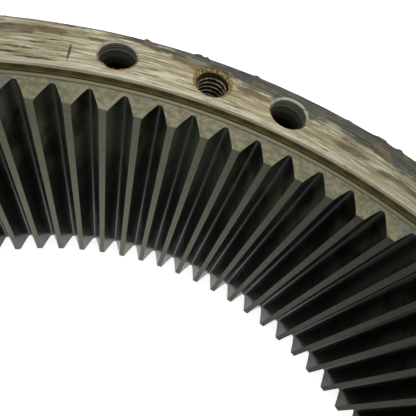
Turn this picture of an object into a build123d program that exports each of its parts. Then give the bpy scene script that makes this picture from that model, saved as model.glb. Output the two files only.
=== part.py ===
"""Internal ring gear of a planetary reduction drive, made from one forged ring.

The blank is turned, the spur teeth are shaped through its bore, and the raised rim on its upper
end face is drilled for the through bolts and tapped for jacking screws.
Millimetres. The axis is +Z, and the lower end face lies on z = 0.
"""
import os
from math import acos, cos, degrees, hypot, pi, radians, sin, sqrt, tan

from build123d import *

# Toothing
MODULE = 3.0
TOOTH_COUNT = 100
PRESSURE_ANGLE = 25.0
ADDENDUM = 1.0 * MODULE
DEDENDUM = 1.25 * MODULE
ROOT_CHORDS = 3

# Turned blank
HEIGHT = 108.0
RIM_RISE = 2.2
OUTER_CHAMFER = 1.0
BORE_CHAMFER = 0.6

# Steps of the blank, each measured outwards from the one before, starting at the root circle
ROOT_TO_LAND = 1.25
LAND_RISE = 0.3
LAND_WIDTH = 0.9
RELIEF_WIDTH = 0.45
RELIEF_DEPTH = 0.3
RELIEF_TO_REGISTER = 0.85
REGISTER_CHAMFER = 0.5
REGISTER_TO_BOLTS = 8.75
BOLTS_TO_OUTSIDE = 9.75

# Bolt holes, drilled right through on the bolt circle
BOLT_COUNT = 20
BOLT_HOLE = 11.0
BOLT_CHAMFER = 0.55

# Jacking holes, tapped blind between two bolt holes
JACK_COUNT = 4
JACK_OFFSET = -9.75
JACK_THREAD = 10.0
JACK_DEPTH = 26.0
JACK_CHAMFER = 1.05
DRILL_POINT = 118.0

# Steps of the iteration that finds the root arc
ROOT_STEPS = 40

pitch_radius = MODULE * TOOTH_COUNT / 2
base_radius = pitch_radius * cos(radians(PRESSURE_ANGLE))
tip_radius = pitch_radius - ADDENDUM
root_radius = pitch_radius + DEDENDUM
cutter_start = tip_radius - BORE_CHAMFER
land_foot = root_radius + ROOT_TO_LAND
land_edge = land_foot + LAND_RISE
relief_inner = land_edge + LAND_WIDTH
relief_outer = relief_inner + RELIEF_WIDTH
register_radius = relief_outer + RELIEF_TO_REGISTER
bolt_circle_radius = register_radius + REGISTER_TO_BOLTS
outer_radius = bolt_circle_radius + BOLTS_TO_OUTSIDE
tooth_top = HEIGHT - RIM_RISE
land_top = tooth_top + LAND_RISE


def involute(angle):
    """Return the involute function, tan(angle) - angle, of an angle in radians."""
    return tan(angle) - angle


def space_half_angle(radius):
    """Return half the angle of a tooth space at a radius, in radians.

    The space is a quarter pitch at the pitch circle and narrows outwards along the involute.
    """
    at_pitch = pi / (2 * TOOTH_COUNT)
    return at_pitch + involute(radians(PRESSURE_ANGLE)) - involute(acos(base_radius / radius))


def root_centre_radius():
    """Return how far out the centre of the root arc lies, on the middle of a tooth space.

    An involute's normals touch its base circle, so a point on the middle of the space is as far
    from each flank as base radius times half angle. The root arc touches both flanks and the root
    circle where that distance is what is left up to the root circle, found by iteration.
    """
    centre = root_radius
    for _ in range(ROOT_STEPS):
        centre = root_radius - base_radius * space_half_angle(centre)
    return centre


def flank_point(radius, side):
    """Return the point of a flank at a radius, for a tooth space centred on +X."""
    angle = side * space_half_angle(radius)
    return (radius * cos(angle), radius * sin(angle))


def root_point(angle):
    """Return the point of the root arc at an angle in radians from its middle."""
    return (root_centre + root_arc_radius * cos(angle), root_arc_radius * sin(angle))


def flank_points(side):
    """Return three points of one flank: inside the tip circle, halfway, and at the root arc."""
    halfway = (cutter_start + flank_end_radius) / 2
    return [flank_point(radius, side) for radius in (cutter_start, halfway, flank_end_radius)]


# Where the involute ends on the root arc, along the normal through the arc's centre
root_centre = root_centre_radius()
root_arc_radius = root_radius - root_centre
normal_length = sqrt(root_centre**2 - base_radius**2) + root_arc_radius
flank_end_radius = hypot(base_radius, normal_length)
root_half_sweep = pi / 2 - acos(base_radius / root_centre)

# Section of the blank, turned about Z: bore, lower face, outside, rim, register, land, tooth face
with BuildPart() as blank:
    with BuildSketch(Plane.XZ) as section:
        with BuildLine():
            Polyline(
                (tip_radius, BORE_CHAMFER),
                (tip_radius + BORE_CHAMFER, 0),
                (outer_radius - OUTER_CHAMFER, 0),
                (outer_radius, OUTER_CHAMFER),
                (outer_radius, HEIGHT - OUTER_CHAMFER),
                (outer_radius - OUTER_CHAMFER, HEIGHT),
                (register_radius + REGISTER_CHAMFER, HEIGHT),
                (register_radius, HEIGHT - REGISTER_CHAMFER),
                (register_radius, land_top),
                (relief_outer, land_top),
                (relief_outer - RELIEF_WIDTH / 2, land_top - RELIEF_DEPTH),
                (relief_inner, land_top),
                (land_edge, land_top),
                (land_foot, tooth_top),
                (tip_radius + BORE_CHAMFER, tooth_top),
                (tip_radius, tooth_top - BORE_CHAMFER),
                close=True,
            )
        make_face()
    revolve(axis=Axis.Z)

# One tooth space: two flanks, each the arc through three points of the involute, and between them
# the root arc, as a few chords because there are so many teeth
chord_sweep = 2 * root_half_sweep / ROOT_CHORDS
root_points = [root_point(chord_sweep * i - root_half_sweep) for i in range(ROOT_CHORDS + 1)]
with BuildSketch() as tooth_space:
    with BuildLine():
        lower_flank = ThreePointArc(*flank_points(-1))
        upper_flank = ThreePointArc(*flank_points(1))
        Polyline(lower_flank @ 1, *root_points[1:-1], upper_flank @ 1)
        Line(lower_flank @ 0, upper_flank @ 0)
    make_face()

# Section of one bolt hole: a plain bore with its mouth broken in the rim face
with BuildPart() as bolt_cutter:
    with BuildSketch(Plane.XZ):
        with BuildLine():
            Polyline(
                (0, 0),
                (BOLT_HOLE / 2, 0),
                (BOLT_HOLE / 2, HEIGHT - BOLT_CHAMFER),
                (BOLT_HOLE / 2 + BOLT_CHAMFER, HEIGHT),
                (0, HEIGHT),
                close=True,
            )
        make_face()
    revolve(axis=Axis.Z)

# Section of one jacking hole: countersink, tapped wall and the drill's point
point_depth = JACK_THREAD / 2 / tan(radians(DRILL_POINT / 2))
with BuildPart() as jack_cutter:
    with BuildSketch(Plane.XZ):
        with BuildLine():
            Polyline(
                (0, HEIGHT),
                (JACK_THREAD / 2 + JACK_CHAMFER, HEIGHT),
                (JACK_THREAD / 2, HEIGHT - JACK_CHAMFER),
                (JACK_THREAD / 2, HEIGHT - JACK_DEPTH),
                (0, HEIGHT - JACK_DEPTH - point_depth),
                close=True,
            )
        make_face()
    revolve(axis=Axis.Z)

# The finished gear: teeth shaped through the bore, then the rim drilled and tapped
half_pitch = degrees(pi / TOOTH_COUNT)
with BuildPart() as ring_gear:
    add(blank.part)
    with BuildSketch():
        with PolarLocations(0, TOOTH_COUNT, start_angle=half_pitch):
            add(tooth_space.sketch)
    extrude(amount=HEIGHT, mode=Mode.SUBTRACT)
    with PolarLocations(bolt_circle_radius, BOLT_COUNT):
        add(bolt_cutter.part, mode=Mode.SUBTRACT)
    with PolarLocations(bolt_circle_radius, JACK_COUNT, start_angle=JACK_OFFSET):
        add(jack_cutter.part, mode=Mode.SUBTRACT)

os.makedirs("parts", exist_ok=True)
ring_gear.part.label = "ring_gear"
export_step(ring_gear.part, "parts/ring_gear.step")
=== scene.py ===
from math import pi, radians, tau

import bpy
import numpy as np
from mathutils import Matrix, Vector


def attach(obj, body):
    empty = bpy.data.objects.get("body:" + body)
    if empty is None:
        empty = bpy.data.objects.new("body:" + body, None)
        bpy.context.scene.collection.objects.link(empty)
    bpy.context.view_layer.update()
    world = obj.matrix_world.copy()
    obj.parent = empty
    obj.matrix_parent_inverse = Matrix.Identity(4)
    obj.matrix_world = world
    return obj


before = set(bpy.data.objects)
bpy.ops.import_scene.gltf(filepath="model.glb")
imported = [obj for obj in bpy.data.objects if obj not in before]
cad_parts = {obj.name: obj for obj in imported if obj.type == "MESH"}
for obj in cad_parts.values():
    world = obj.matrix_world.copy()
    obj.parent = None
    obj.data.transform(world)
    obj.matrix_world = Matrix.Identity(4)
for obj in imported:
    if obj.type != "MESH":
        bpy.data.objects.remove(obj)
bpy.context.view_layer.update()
scene = bpy.context.scene
MM = 0.001

# The gear: one forged steel ring, turned all over, with its teeth shaped through the bore and its
# rim drilled and tapped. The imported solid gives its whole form, so this section makes its finish:
# each machined face is found by its place in the ring, and gets its own metal, grain and stains.

# Places of the gear's faces, in millimetres
TOOTH_COUNT = 100
TIP_RADIUS = 147.0
BORE_CHAMFER = 0.6
ROOT_RADIUS = 153.75
LAND_RADIUS = 155.0
GROOVE_INNER = 156.2
GROOVE_OUTER = 156.66
REGISTER_RADIUS = 157.5
REGISTER_CHAMFER = 0.5
OUTER_RADIUS = 176.0
OUTER_CHAMFER = 1.0
TOOTH_TOP = 105.8
RIM_TOP = 108.0
HOLE_CIRCLE_RADIUS = 166.25
BOLT_COUNT = 20
BOLT_WALL = 5.5
BOLT_CHAMFER = 0.55
JACK_COUNT = 4
JACK_TURN = -9.75
JACK_WALL = 5.0
JACK_CHAMFER = 1.05


def linear(hex_colour):
    """Turn an sRGB hex colour into linear RGBA: c / 12.92 when dark, else ((c + 0.055) / 1.055) ** 2.4."""
    steps = [int(hex_colour[i : i + 2], 16) / 255 for i in (1, 3, 5)]
    return [c / 12.92 if c <= 0.04045 else ((c + 0.055) / 1.055) ** 2.4 for c in steps] + [1.0]


def new_material(name):
    """Return a new material whose node tree is still empty."""
    made = bpy.data.materials.new(name)
    made.use_nodes = True
    made.node_tree.nodes.clear()
    return made


def feed(socket, source):
    """Link a socket to another node's output, give it a constant, or leave it alone for None."""
    if isinstance(source, bpy.types.NodeSocket):
        tree.links.new(source, socket)
    elif source is not None:
        socket.default_value = source


def node(kind, *inputs, out=0, **settings):
    """Add a shader node to the tree in hand, feed its sockets in order, and return one output."""
    made = tree.nodes.new("ShaderNode" + kind)
    for name, value in settings.items():
        setattr(made, name, value)
    for socket, source in zip(made.inputs, inputs):
        feed(socket, source)
    return made.outputs[out] if made.outputs else None


def dress(colour, roughness, metallic=1.0, normal=None):
    """Give the tree in hand its surface, from a colour, a roughness, a share of bare metal and a relief."""
    surface = tree.nodes.new("ShaderNodeBsdfPrincipled")
    feed(surface.inputs["Base Color"], colour)
    feed(surface.inputs["Roughness"], roughness)
    feed(surface.inputs["Metallic"], metallic)
    feed(surface.inputs["Normal"], normal)
    node("OutputMaterial", surface.outputs["BSDF"])


def plus(first, second):
    """Return the sum of two values."""
    return node("Math", first, second, operation="ADD")


def minus(first, second):
    """Return the first value less the second."""
    return node("Math", first, second, operation="SUBTRACT")


def times(first, second):
    """Return the product of two values."""
    return node("Math", first, second, operation="MULTIPLY")


def length(vector):
    """Return the length of a vector."""
    return node("VectorMath", vector, operation="LENGTH", out=1)


def ramp(value, start, end, low=0.0, high=1.0):
    """Return a smooth step from low at start to high at end."""
    return node("MapRange", value, start, end, low, high, interpolation_type="SMOOTHSTEP")


def band(value, start, end, edge):
    """Return 1 between start and end and 0 outside, with smooth edges of the given width."""
    rise = ramp(value, start - edge / 2, start + edge / 2)
    return times(rise, ramp(value, end - edge / 2, end + edge / 2, 1.0, 0.0))


def blend(amount, below, above):
    """Lay one colour or value over another by an amount from 0 to 1."""
    below, above = [[c] * 3 + [1.0] if isinstance(c, float) else c for c in (below, above)]
    return node("MixRGB", amount, below, above)


def ring_place():
    """Return where a point of the ring lies, in mm: its place, x, height, way outwards, radius and angle."""
    place = node("VectorMath", node("TexCoord", out=3), (1 / MM,) * 3, operation="MULTIPLY")
    x, y, z = [node("SeparateXYZ", place, out=i) for i in range(3)]
    flat = node("CombineXYZ", x, y, 0.0)
    outward = node("VectorMath", flat, operation="NORMALIZE")
    return place, x, z, outward, length(flat), node("Math", y, x, operation="ARCTAN2")


def hole_distance(count, turn):
    """Return the distance in mm to the nearest axis of a ring of holes that starts at a turn in degrees."""
    share = pi / count
    folded = node("Math", minus(angle, radians(turn)), share, -share, operation="WRAP")
    along = times(node("Math", folded, operation="COSINE"), radius)
    across = times(node("Math", folded, operation="SINE"), radius)
    return length(node("CombineXYZ", minus(along, HOLE_CIRCLE_RADIUS), across, 0.0))


def grain(per_turn, per_mm, rise=0.0, detail=3.0, rough=0.55, seed=0.0):
    """Return noise drawn out along the turning direction: long cells round the ring, short ones across it."""
    round_it = node("VectorMath", outward, (per_turn / tau,) * 3, operation="MULTIPLY")
    across = node("CombineXYZ", seed, seed, times(plus(radius, times(z, rise)), per_mm))
    return node("TexNoise", node("VectorMath", round_it, across, operation="ADD"), None, 1.0, detail, rough)


def speckle(size_mm, detail=3.0, rough=0.6, seed=0.0):
    """Return even noise with cells of a size in mm."""
    moved = node("VectorMath", place, (seed, seed, seed), operation="ADD")
    return node("TexNoise", moved, None, 1.0 / size_mm, detail, rough)


# Gear steel, turned and wetted with oil: bright metal under a warm film, with sharp reflections where worn
steel = new_material("turned_and_oiled_gear_steel")
tree = steel.node_tree
place, x, z, outward, radius, angle = ring_place()
bolt = hole_distance(BOLT_COUNT, 0.0)
jack = hole_distance(JACK_COUNT, JACK_TURN)

# Rim face: worn bright by the mating flange, in long fine scores, under old stain and black skin
lathe = grain(110.0, 2.4, detail=5.0, rough=0.66)
fine_lathe = grain(400.0, 7.0, detail=2.0, seed=7.0)
stain_field = grain(85.0, 0.8, detail=5.0, rough=0.62, seed=3.0)
patch = speckle(5.0, detail=5.0, rough=0.62, seed=11.0)
wobble = times(minus(speckle(1.4, seed=41.0), 0.5), 2.4)


def spot(turn, middle, half_length, half_width, shake=0.5):
    """Return 1 in the middle of a mark on the rim, at an angle and a radius, and 0 outside its ellipse."""
    round_it = times(minus(angle, radians(turn)), middle / half_length)
    round_it = plus(round_it, times(wobble, shake / half_length))
    across = minus(plus(radius, times(wobble, shake)), middle)
    reach = length(node("CombineXYZ", round_it, times(across, 1.0 / half_width), 0.0))
    return ramp(reach, 1.1, 0.4)


def strongest(spots):
    """Return the largest of several spots."""
    total = spot(*spots[0])
    for one in spots[1:]:
        total = node("Math", total, spot(*one), operation="MAXIMUM")
    return total


# Marks on the rim, each with its angle in degrees, then its radius and half sizes in mm
rust_spots = strongest([
    (99.7, 170.7, 10.0, 2.8), (96.6, 171.4, 7.0, 2.2), (92.0, 170.5, 6.0, 1.2), (83.2, 171.6, 8.0, 2.4),
    (81.8, 169.3, 5.0, 1.6), (76.0, 167.6, 8.0, 2.6), (73.6, 169.2, 4.0, 1.4), (65.0, 164.6, 10.0, 1.7),
    (59.2, 163.3, 12.0, 1.7), (40.0, 168.0, 14.0, 3.0), (10.0, 170.0, 12.0, 3.0), (-60.0, 166.0, 15.0, 3.0),
])
rust_field = plus(times(stain_field, 1.6), times(lathe, 1.6))
rust = ramp(plus(times(rust_spots, 0.8), rust_field), 2.0, 2.35)
rust_colour = blend(ramp(patch, 0.4, 0.6), linear("#6A5539"), linear("#4A3F35"))
cracks = strongest([
    (94.5, 164.0, 0.42, 4.4, 0.4), (97.2, 159.9, 8.0, 0.42, 0.25), (98.9, 163.3, 6.0, 0.45),
    (97.5, 165.9, 3.5, 0.4), (100.2, 161.3, 5.0, 0.4), (96.2, 167.6, 2.5, 0.35), (67.3, 159.7, 1.3, 0.45),
    (64.8, 157.9, 0.9, 0.35),
])
score = ramp(grain(120.0, 4.0, detail=3.0, rough=0.7, seed=17.0), 0.54, 0.62)
pits = ramp(node("TexNoise", place, None, 0.9, 4.0, 0.7), 0.66, 0.7)
worn_edge = ramp(plus(radius, times(lathe, 4.0)), 162.6, 160.4)

# The black skin is left where the rim was never worn: near its outer edge, and more of it towards +X
skin_reach = plus(radius, times(stain_field, 12.0))
skin_reach = plus(skin_reach, times(lathe, 9.0))
skin_reach = plus(skin_reach, times(patch, 7.0))
skin_reach = plus(skin_reach, ramp(x, -45.0, 70.0, 0.0, 8.0))
skin = ramp(skin_reach, 189.4, 191.6)
skin_colour = blend(ramp(lathe, 0.42, 0.6), linear("#434442"), linear("#66665E"))
skin_colour = blend(ramp(patch, 0.56, 0.64, 0.0, 0.7), skin_colour, linear("#80714F"))

rim_colour = blend(ramp(lathe, 0.38, 0.6), linear("#7A7256"), linear("#C6C0A3"))
rim_colour = blend(ramp(stain_field, 0.42, 0.6, 0.0, 0.7), rim_colour, linear("#8C7D58"))
rim_colour = blend(times(worn_edge, 0.6), rim_colour, linear("#C2BDA8"))
rim_colour = blend(times(rust, 0.8), rim_colour, rust_colour)
rim_colour = blend(times(score, ramp(patch, 0.42, 0.6, 0.15, 0.9)), rim_colour, linear("#4B4434"))
rim_colour = blend(times(skin, 0.92), rim_colour, skin_colour)
rim_colour = blend(times(pits, 0.75), rim_colour, linear("#2E2620"))
rim_colour = blend(times(cracks, 0.85), rim_colour, linear("#2B221A"))
rim_rough = plus(times(skin, 0.2), times(ramp(lathe, 0.3, 0.7), 0.08))
rim_rough = plus(rim_rough, 0.36)

# Tooth end face and land: fine turned, dull under a dry film of oil
mottle = speckle(1.6, detail=5.0, rough=0.65, seed=5.0)
cloud = speckle(7.0, detail=3.0, seed=15.0)
end_colour = blend(ramp(mottle, 0.38, 0.62), linear("#757159"), linear("#928C72"))
end_colour = blend(ramp(cloud, 0.5, 0.7, 0.0, 0.6), end_colour, linear("#6E7372"))
# Painted shade and highlight on the land: dark lines painted in the groove and at the step by the land's
# edge, and a pale brassy strip outside the groove that is partly oil colour and partly a painted highlight
land_colour = blend(band(radius, GROOVE_INNER, GROOVE_OUTER, 0.06), linear("#7F7A60"), linear("#3E3820"))
land_colour = blend(ramp(radius, GROOVE_OUTER, GROOVE_OUTER + 0.06), land_colour, linear("#9A8F62"))
land_colour = blend(band(radius, LAND_RADIUS - 0.1, LAND_RADIUS + 0.12, 0.1), land_colour, linear("#4E4B38"))

# Register wall and the broken edge above it: in the shade of the rim, with flecks of rust
wall_colour = blend(ramp(speckle(0.9, seed=9.0), 0.6, 0.7), linear("#6A634A"), linear("#7A4B2A"))
break_colour = blend(ramp(lathe, 0.35, 0.65), linear("#857E66"), linear("#AAA48C"))

# Flanks: shaped and wet with dark oil in broad clouds. Their colour also holds painted light: a painted sheen
# that makes them paler towards the top, painted shade that darkens them towards the root between the teeth,
# and painted shade on one side of each tooth, stronger towards +X
BLACK = linear("#000000")
oil_cloud = ramp(speckle(14.0, detail=2.0, seed=21.0), 0.45, 0.65, 0.0, 0.8)
# Painted shade: one side of each tooth is picked out here to be darkened
shaded_side = ramp(node("Math", angle, pi / TOOTH_COUNT, -pi / TOOTH_COUNT, operation="WRAP"), 0.002, -0.002)
# Painted sheen: the flanks are paler towards the top
flank_colour = blend(ramp(z, 45.0, 100.0), linear("#43433A"), linear("#A4AA98"))
flank_colour = blend(oil_cloud, flank_colour, linear("#3A3020"))
# Painted shade: darker towards the root, between the teeth
flank_colour = blend(ramp(radius, TIP_RADIUS + 1.5, TIP_RADIUS + 5.0, 0.0, 0.55), flank_colour, BLACK)
# Painted shade on one side of each tooth, stronger towards +X
flank_colour = blend(times(shaded_side, ramp(x, 35.0, 80.0, 0.2, 0.93)), flank_colour, BLACK)

# Tip lands and roots: dull tips that darken towards +X, and a paler line along the foot of each root
tip_colour = blend(ramp(mottle, 0.35, 0.7), linear("#72705F"), linear("#807D6C"))
tip_colour = blend(node("MapRange", x, 15.0, 90.0, 0.0, 0.68), tip_colour, BLACK)
tip_colour = blend(ramp(z, 20.0, 100.0, 0.0, 0.28), tip_colour, BLACK)
root_colour = blend(ramp(z, 20.0, 70.0), linear("#565A58"), linear("#2E3030"))

# The flanks are wet up to the tips' chamfers, on which height and radius add up to, or differ by,
# the same amount all over
upper_cone = TOOTH_TOP - TIP_RADIUS - BORE_CHAMFER
lower_cone = TIP_RADIUS + BORE_CHAMFER
upper_chamfer = ramp(minus(z, radius), upper_cone - 0.06, upper_cone - 0.02)
lower_chamfer = ramp(plus(z, radius), lower_cone + 0.06, lower_cone + 0.02)
between = times(ramp(upper_chamfer, 1.0, 0.0), ramp(lower_chamfer, 1.0, 0.0))
wet = times(ramp(radius, TIP_RADIUS, TIP_RADIUS + 0.12), between)
tooth_colour = blend(wet, tip_colour, flank_colour)
tooth_colour = blend(ramp(radius, ROOT_RADIUS - 0.15, ROOT_RADIUS - 0.07), tooth_colour, root_colour)
tooth_rough = blend(wet, 0.5, ramp(z, 10.0, 50.0, 0.2, 0.36))

# Outer wall and lower face: turned once and left, dark with old oil and handling
coat = grain(60.0, 2.2, rise=1.0, detail=5.0, seed=31.0)
outer_colour = blend(ramp(coat, 0.35, 0.68), linear("#585953"), linear("#6E6A5C"))
lower_colour = blend(ramp(lathe, 0.35, 0.65), linear("#8F8A78"), linear("#A8A391"))

# Bores: reamed steel ringed by the drill, with painted shade that darkens them further down, rust-brown in
# the tapped holes
rings = node("TexNoise", node("CombineXYZ", 0.0, 0.0, times(z, 1.1)), None, 1.0, 3.0, 0.6)
bore_colour = blend(ramp(rings, 0.44, 0.56), linear("#585644"), linear("#DEDCC4"))
# Painted shade: the bores darken with depth
bore_colour = blend(ramp(z, RIM_TOP - 2.0, RIM_TOP - 12.0), bore_colour, linear("#1C1B15"))
mouth_colour = blend(ramp(lathe, 0.3, 0.6), linear("#6A6452"), linear("#BDB8A4"))
jack_colour = linear("#8A7A5C")


def step_up(height, start, end):
    """Return a smooth step from 0 at start to 1 at end, both measured upwards from a height."""
    return ramp(z, height + start, height + end)


def step_out(limit, start, end):
    """Return a smooth step from 0 at start to 1 at end, both measured outwards from a radius."""
    return ramp(radius, limit + start, limit + end)


# Put the faces together, from the inside of the ring outwards, each as a mask, a colour and a roughness
on_end_face = step_up(TOOTH_TOP, -0.12, -0.06)
broken_edge = band(radius, REGISTER_RADIUS - 0.5, REGISTER_RADIUS + REGISTER_CHAMFER - 0.02, 0.02)
mouth_foot = RIM_TOP - BOLT_CHAMFER
mouth_rim = BOLT_WALL + BOLT_CHAMFER
in_mouth = ramp(bolt, mouth_rim + 0.01, mouth_rim - 0.01)
in_bore = ramp(bolt, BOLT_WALL + 0.03, BOLT_WALL)
in_jack = ramp(jack, JACK_WALL + 0.1, JACK_WALL + 0.03)
colour = tooth_colour
rough = tooth_rough
for mask, paint, dullness in (
    (on_end_face, end_colour, 0.55),
    (times(on_end_face, step_out(LAND_RADIUS, -0.1, 0.0)), land_colour, 0.4),
    (step_out(REGISTER_RADIUS, -0.08, -0.02), wall_colour, 0.65),
    (times(step_up(RIM_TOP, -0.75, -0.65), step_out(REGISTER_RADIUS, -0.6, -0.5)), rim_colour, rim_rough),
    (times(step_up(RIM_TOP - REGISTER_CHAMFER, -0.02, 0.0), broken_edge), break_colour, 0.4),
    (times(in_mouth, step_up(mouth_foot, -0.05, 0.05)), mouth_colour, 0.3),
    (ramp(z, 0.02, 0.01), lower_colour, 0.45),
    (step_out(OUTER_RADIUS - OUTER_CHAMFER, 0.02, 0.1), outer_colour, 0.5),
    (times(in_bore, step_up(mouth_foot, 0.05, -0.05)), bore_colour, 0.6),
    (times(in_jack, step_up(RIM_TOP - JACK_CHAMFER, 0.05, -0.05)), jack_colour, 0.5),
):
    colour = blend(mask, colour, paint)
    rough = blend(mask, rough, dullness)

# Fine relief, as bump: the scores and pits of the rim, and the finer grain of the other turned faces
on_rim = step_up(RIM_TOP, -0.02, -0.01)
relief = plus(times(lathe, ramp(on_rim, 0.0, 1.0, 0.3, 1.0)), times(fine_lathe, 0.25))
relief = minus(relief, times(plus(pits, score), times(on_rim, 0.5)))
bump = tree.nodes.new("ShaderNodeBump")
feed(bump.inputs["Strength"], 0.6)
feed(bump.inputs["Distance"], 0.06 * MM)
feed(bump.inputs["Height"], relief)
dress(colour, rough, normal=bump.outputs["Normal"])
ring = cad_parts["ring_gear"]
ring.data.materials.clear()
ring.data.materials.append(steel)

# The jacking threads: coarse metric threads cut in the four tapped holes. Each is a helical ridge
# of worn steel that stands on the plain wall of the solid, with rust left in its grooves.
rng = np.random.default_rng(7)


def tube_piece(name, rows, closed):
    """Make one piece from tubes, each an array of profile loops that is closed in a ring or else capped."""
    points, faces, start = [], [], 0
    for grid in rows:
        count, sides = grid.shape[:2]
        near = np.arange(count if closed else count - 1)[:, None]
        side = np.arange(sides)[None, :]
        first, second = near * sides, (near + 1) % count * sides
        beside = (side + 1) % sides
        quads = np.stack([first + side, first + beside, second + beside, second + side], axis=-1)
        quads = quads.reshape(-1, 4)
        corners = grid.reshape(-1, 3)
        a, b, c, d = (corners[quads[:, i]] for i in range(4))
        volume = np.sum(np.cross(a, b) * c) + np.sum(np.cross(a, c) * d)
        loops = quads.tolist()
        if not closed:
            loops += [list(range(sides))[::-1], list(range((count - 1) * sides, count * sides))]
        faces += [[start + i for i in (loop if volume > 0 else loop[::-1])] for loop in loops]
        points.append(corners)
        start += len(corners)
    mesh = bpy.data.meshes.new(name)
    mesh.from_pydata(np.concatenate(points) * MM, [], faces)
    piece = bpy.data.objects.new(name, mesh)
    scene.collection.objects.link(piece)
    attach(piece, "root")
    return piece


def hole_place(turn, reach, phase, height):
    """Return points at a reach and phase round a hole axis that stands at a turn on the circle of holes."""
    outwards = HOLE_CIRCLE_RADIUS + reach * np.cos(phase)
    sideways = reach * np.sin(phase)
    east, north = np.cos(radians(turn)), np.sin(radians(turn))
    return np.stack([outwards * east - sideways * north, outwards * north + sideways * east, height], axis=-1)


THREAD_PITCH = 1.75
THREAD_DEPTH = 22.0
THREAD_START = 1.5
THREAD_HEIGHT = 0.72
THREAD_STEPS = 640
FOOT_HALF_WIDTH = 0.62
CREST_HALF_WIDTH = 0.12
SUNK = 0.04
RUN_OUTS = 40
JACK_TURNS = [JACK_TURN + 90.0 * quarter for quarter in range(1, 5)]
steps = np.linspace(0.0, 1.0, THREAD_STEPS)[:, None]
profile_in = np.array([-SUNK, THREAD_HEIGHT, THREAD_HEIGHT, -SUNK])[None, :]
profile_up = np.array([FOOT_HALF_WIDTH, CREST_HALF_WIDTH, -CREST_HALF_WIDTH, -FOOT_HALF_WIDTH])[None, :]
fade = np.clip(np.minimum(steps, 1 - steps) * RUN_OUTS, 0.05, 1.0)
helix = RIM_TOP - THREAD_START - steps * THREAD_DEPTH
threads = [
    hole_place(
        turn,
        JACK_WALL - profile_in * fade,
        steps * THREAD_DEPTH / THREAD_PITCH * tau + 0 * profile_in,
        helix + profile_up * fade,
    )
    for turn in JACK_TURNS
]

# Cut thread steel: pale worn crests over grooves that are nearly black with rust
thread_steel = new_material("cut_thread_steel_with_rust")
tree = thread_steel.node_tree
place, x, z, outward, radius, angle = ring_place()
crest = ramp(hole_distance(JACK_COUNT, JACK_TURN), 4.75, 4.4)
crest_colour = blend(ramp(speckle(1.2, seed=2.0), 0.4, 0.6), linear("#5E5848"), linear("#9A947E"))
dress(blend(crest, linear("#211A12"), crest_colour), minus(0.7, times(crest, 0.3)), metallic=0.8)
tube_piece("jacking_threads", threads, closed=False).data.materials.append(thread_steel)

# The rust lips: scale that has lifted at the mouths of the tapped holes and of a few bolt holes.
# Each is a thin ragged ring of brown oxide, lying on the chamfer and hanging a little into the bore.
LIP_STEPS = 150
LIPPED_BOLTS = (90.0, 18.0, 234.0)


def mouth_ring(turn, wall, chamfer, start, sweep, hang, lift):
    """Return a ragged ring round a hole mouth: its inner edge hangs in by a noise of short and long waves."""
    part = np.linspace(0.0, 1.0, LIP_STEPS)
    waves = sum(
        rng.uniform(0.4, 1.0) * np.sin(part * sweep * beats + rng.uniform(0, tau)) / 3
        for beats in (5, 11, 17, 29)
    )
    taper = np.sqrt(np.sin(part * pi))
    ragged = np.clip(0.5 + 0.6 * waves + rng.normal(0, 0.18, part.size), 0.0, 1.3) * taper
    lumps = lift * np.clip(0.6 + rng.normal(0, 0.25, part.size), 0.2, 1.0) * taper
    level = 0 * part
    reach = [level + wall + chamfer + 0.05, wall + chamfer / 2 - lumps, wall - 0.04 - hang * ragged]
    reach = np.stack(reach + [level + wall + 0.08], axis=-1)
    rise = [level - 0.02, -chamfer / 2 + lumps * 0.8, -chamfer - 0.15 * ragged, level - chamfer - 0.3]
    phase = (start + sweep * part)[:, None] + 0 * reach
    return hole_place(turn, reach, phase, RIM_TOP - 0.02 + np.stack(rise, axis=-1))


lips = [mouth_ring(turn, BOLT_WALL, BOLT_CHAMFER, 0.6 * pi, 0.85 * pi, 0.9, 0.3) for turn in LIPPED_BOLTS]
lips += [mouth_ring(turn, JACK_WALL, JACK_CHAMFER, 0.02, tau - 0.05, 0.2, 0.22) for turn in JACK_TURNS]

# Flaking oxide: matt, yellow-brown at the tapped holes and copper-brown at the bolt holes
oxide = new_material("flaking_brown_oxide")
tree = oxide.node_tree
place, x, z, outward, radius, angle = ring_place()
at_jack = ramp(hole_distance(JACK_COUNT, JACK_TURN), 8.0, 7.0)
copper = blend(ramp(speckle(0.8, seed=3.0), 0.42, 0.6), linear("#6E4528"), linear("#C09068"))
yellow = blend(ramp(speckle(0.7, seed=4.0), 0.42, 0.58), linear("#5E4A2A"), linear("#A89458"))
dress(blend(at_jack, copper, yellow), 0.8, metallic=0.0)
tube_piece("rust_lips", lips, closed=False).data.materials.append(oxide)

# The battered edge: the rim's outer corner, bruised and burred in handling. A ragged bead of the
# same steel fills the outer chamfer unevenly, higher where knocks have raised the metal.
EDGE_RADIUS = OUTER_RADIUS - OUTER_CHAMFER
EDGE_STEPS = 3600
KNOCK_COUNT = 46
HIGHEST_BURR = 0.62
BURR_LEAN = 0.7
# The worst burrs, each with its turn and width in degrees and its height in mm
BURRS = (
    (87.7, 0.5, 0.6), (82.4, 0.7, 0.68), (81.6, 0.3, 0.5),
    (76.3, 0.5, 0.5), (62.6, 0.6, 0.55), (60.6, 0.5, 0.6),
)
turns = np.linspace(0.0, tau, EDGE_STEPS, endpoint=False)
raised = np.zeros_like(turns)
for knock in range(KNOCK_COUNT):
    middle, width, height = rng.uniform(0, tau), rng.uniform(0.002, 0.012), rng.uniform(0.15, 0.45)
    raised += height * np.exp(-(((turns - middle + pi) % tau - pi) ** 2) / (2 * width**2))
for turn, width, height in BURRS:
    raised += height * np.exp(-((turns - radians(turn)) ** 2) / (2 * radians(width / 2) ** 2))
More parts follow.
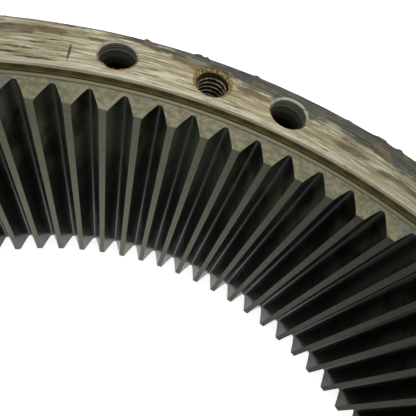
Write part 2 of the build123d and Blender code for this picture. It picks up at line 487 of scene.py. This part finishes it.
# Fine raggedness: noise smoothed over five steps, on three turns end to end so that it joins up
ragged = np.convolve(np.tile(rng.normal(0, 1, turns.size), 3), np.ones(5) / 5, "same")
raised += 0.1 * np.abs(ragged[turns.size : 2 * turns.size])
raised = np.clip(raised, 0.0, HIGHEST_BURR)
level = 0 * turns
out_to = EDGE_RADIUS + np.stack([level - 0.1, 0.42 + raised * BURR_LEAN, level + 0.93], axis=-1)
up_to = RIM_TOP - np.stack([level + 0.04, 0.58 - raised * BURR_LEAN, level + 1.1], axis=-1)
bead = np.stack([out_to * np.cos(turns)[:, None], out_to * np.sin(turns)[:, None], up_to], axis=-1)

# Bruised steel: dull grey-brown metal in soft patches, darker than the worn face beside it
bruised = new_material("bruised_black_edge_steel")
tree = bruised.node_tree
place = ring_place()[0]
dress(blend(ramp(speckle(3.0, seed=6.0), 0.42, 0.58), linear("#4C4A44"), linear("#7A7364")), 0.5)
tube_piece("battered_edge", [bead], closed=True).data.materials.append(bruised)

# The floor: a sheet of pale board. To the eye and in reflections it also glows white.
SPAN = 6.0
floor_mesh = bpy.data.meshes.new("floor")
floor_corners = [(-SPAN, -SPAN, 0), (SPAN, -SPAN, 0), (SPAN, SPAN, 0), (-SPAN, SPAN, 0)]
floor_mesh.from_pydata(floor_corners, [], [(0, 1, 2, 3)])
floor = bpy.data.objects.new("floor", floor_mesh)
scene.collection.objects.link(floor)
board = new_material("white_board")
tree = board.node_tree
paint = node("BsdfDiffuse", linear("#E8E6E0"))
seen = node("Math", node("LightPath", out=0), times(node("LightPath", out=3), 0.6), operation="MAXIMUM")
glow = node("Emission", linear("#FFFFFF"), times(seen, 0.8))
node("OutputMaterial", node("AddShader", paint, glow))
floor_mesh.materials.append(board)

# The light: a wide soft box over the ring, and an even pale sky that is pure white to the eye
world = bpy.data.worlds.new("studio_sky")
scene.world = world
world.use_nodes = True
tree = world.node_tree
tree.nodes.clear()
sky = node("Background", linear("#F6FAFF"), 0.84)
backdrop = node("Background", linear("#FFFFFF"), 1.0)
node("OutputWorld", node("MixShader", node("LightPath", out=0), sky, backdrop))
lamp = bpy.data.lights.new("overhead_softbox", "AREA")
lamp.shape = "SQUARE"
lamp.size = 1.2
lamp.energy = 3.0
softbox = bpy.data.objects.new("overhead_softbox", lamp)
softbox.location = (0.1, 1.1, 1.3)
softbox.rotation_euler = (Vector((0.0, 0.1, 0.0)) - softbox.location).to_track_quat("-Z", "Y").to_euler()
scene.collection.objects.link(softbox)

# The camera: held low inside the ring, looking out over its rim
camera_data = bpy.data.cameras.new("camera")
camera_data.sensor_width = 36
camera_data.lens = 35.636
camera_data.shift_x = -0.01252
camera_data.shift_y = -0.12049
camera_data.clip_start = 0.005
camera = bpy.data.objects.new("camera", camera_data)
camera.location = (15.438 * MM, 77.920 * MM, 193.579 * MM)
camera.rotation_euler = [radians(turn) for turn in (33.5426, -12.7647, 4.4959)]
scene.collection.objects.link(camera)
scene.camera = camera

scene.view_settings.view_transform = "Standard"
